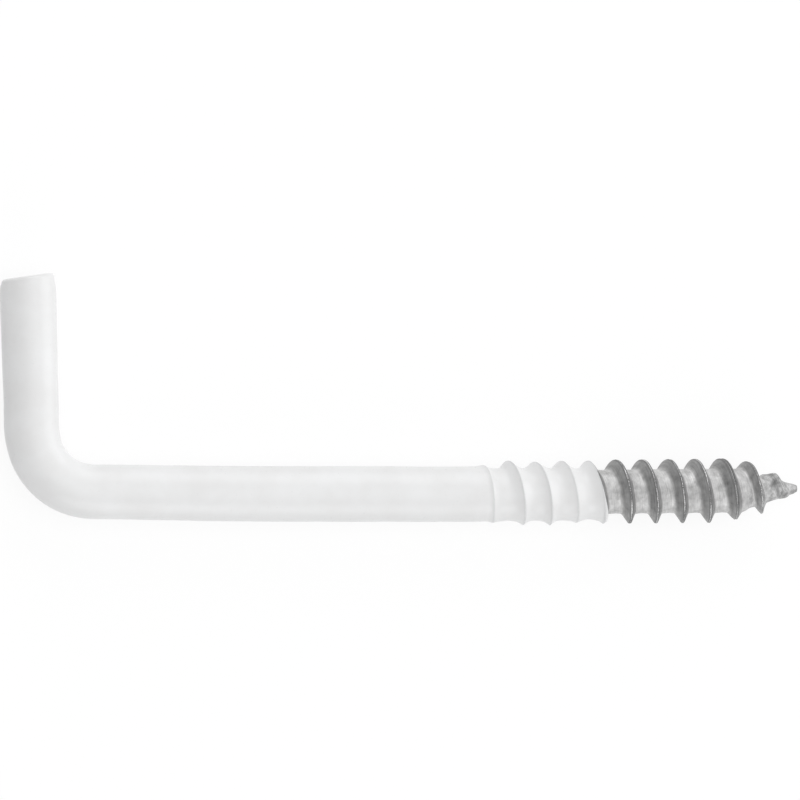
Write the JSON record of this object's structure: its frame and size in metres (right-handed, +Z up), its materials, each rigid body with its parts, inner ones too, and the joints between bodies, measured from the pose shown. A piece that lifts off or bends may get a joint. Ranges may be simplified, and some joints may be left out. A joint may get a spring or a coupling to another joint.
{
  "type": "screw-in hinge pin",
  "caption": "L-shaped wire pin: a plastic-coated arm for a hinge to turn on and a coated shank with a right-hand wood-screw thread and a bare steel point.",
  "frame": {"origin": "middle of the underside of the box round the part, which lies flat with its thread crests on the surface", "axes": "+X along the screw towards its point, +Y across the screw to the side that the pin's arm stands on, +Z up"},
  "size_m": [0.0594, 0.018, 0.0047],
  "materials": {
    "zinc_plated_steel": "rolled, zinc plated, semi-matt with bright burnished edges",
    "white_plastic": "smooth, satin gloss"
  },
  "bodies": {
    "root": {"steel_screw": "zinc_plated_steel", "plastic_coating": "white_plastic"}
  },
  "joints": []
}
